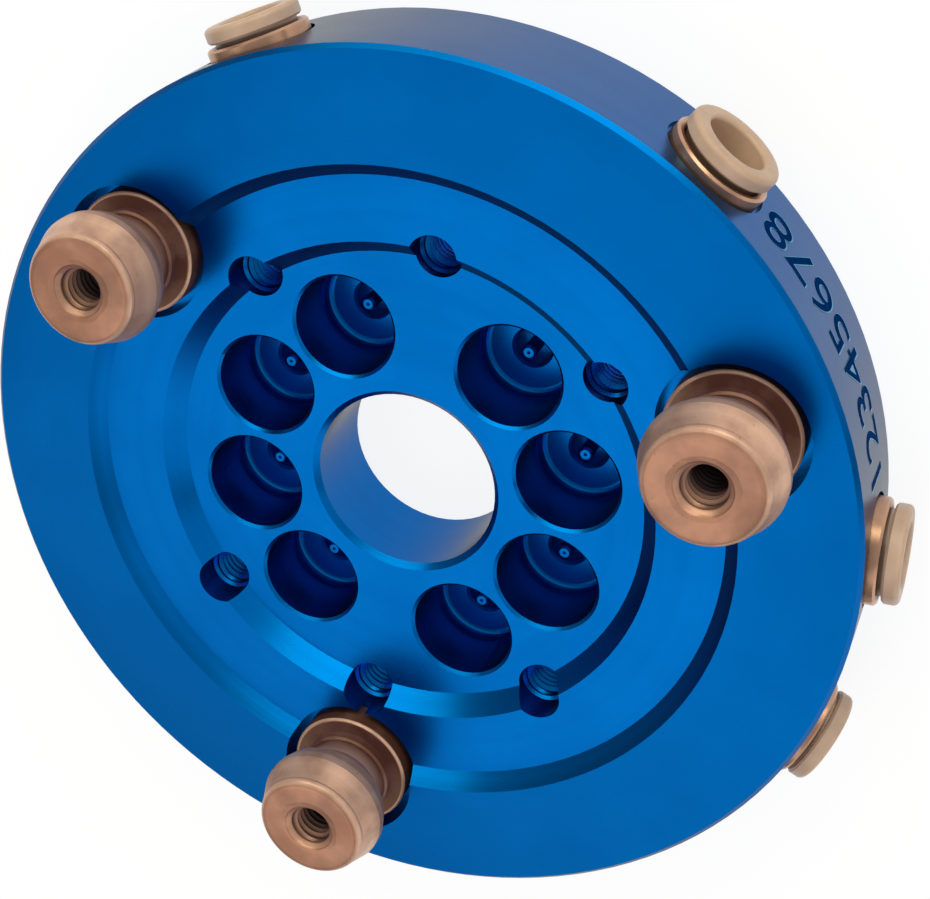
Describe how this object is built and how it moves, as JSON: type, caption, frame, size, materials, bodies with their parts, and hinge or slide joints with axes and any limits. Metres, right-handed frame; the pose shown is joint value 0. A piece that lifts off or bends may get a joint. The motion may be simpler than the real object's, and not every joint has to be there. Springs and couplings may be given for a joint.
{
  "type": "robot tool changer plate",
  "caption": "Round stepped tool-side plate of a robot tool changer, with pull studs, media sockets, threaded holes and push-in air fittings in its rim.",
  "frame": {"origin": "centre of the plate's rear face, on the axis of the centre bore", "axes": "+Z out of the front face, the way the pull studs point; -Y towards the first pull stud; +X between the two groups of sockets"},
  "size_m": [0.129, 0.125, 0.0337],
  "materials": {
    "anodised_blue": "fine turned and blue anodised",
    "stud_steel": "turned steel with a warm tone",
    "black_steel": "black oxide",
    "collar_metal": "turned, nickel over brass",
    "spring_steel": "bright spring steel",
    "seal_rubber": "nitrile rubber",
    "ring_plastic": "satin acetal"
  },
  "bodies": {
    "plate": {"base_plate": "anodised_blue", "pull_stud_1": "stud_steel", "pull_stud_2": "stud_steel", "pull_stud_3": "stud_steel", "stud_screw_1": "black_steel", "stud_screw_2": "black_steel", "stud_screw_3": "black_steel", "collar_1": "collar_metal", "collar_2": "collar_metal", "collar_3": "collar_metal", "collar_4": "collar_metal", "claw_ring_1": "spring_steel", "claw_ring_2": "spring_steel", "claw_ring_3": "spring_steel", "claw_ring_4": "spring_steel", "spacer_ring_1": "collar_metal", "spacer_ring_2": "collar_metal", "spacer_ring_3": "collar_metal", "spacer_ring_4": "collar_metal", "tube_seal_1": "seal_rubber", "tube_seal_2": "seal_rubber", "tube_seal_3": "seal_rubber", "tube_seal_4": "seal_rubber"},
    "ring_1": {"release_ring_1": "ring_plastic"},
    "ring_2": {"release_ring_2": "ring_plastic"},
    "ring_3": {"release_ring_3": "ring_plastic"},
    "ring_4": {"release_ring_4": "ring_plastic"}
  },
  "joints": [
    {"name": "ring_1_push", "type": "slide", "parent": "plate", "child": "ring_1", "axis": [-0.9511, 0.309, 0], "range_m": [0, 0.0005], "stiffness_N_per_m": 800},
    {"name": "ring_2_push", "type": "slide", "parent": "plate", "child": "ring_2", "axis": [-0.9877, -0.1564, 0], "range_m": [0, 0.0005], "stiffness_N_per_m": 800},
    {"name": "ring_3_push", "type": "slide", "parent": "plate", "child": "ring_3", "axis": [-0.5, -0.866, 0], "range_m": [0, 0.0005], "stiffness_N_per_m": 800},
    {"name": "ring_4_push", "type": "slide", "parent": "plate", "child": "ring_4", "axis": [0.4848, -0.8746, 0], "range_m": [0, 0.0005], "stiffness_N_per_m": 800}
  ]
}
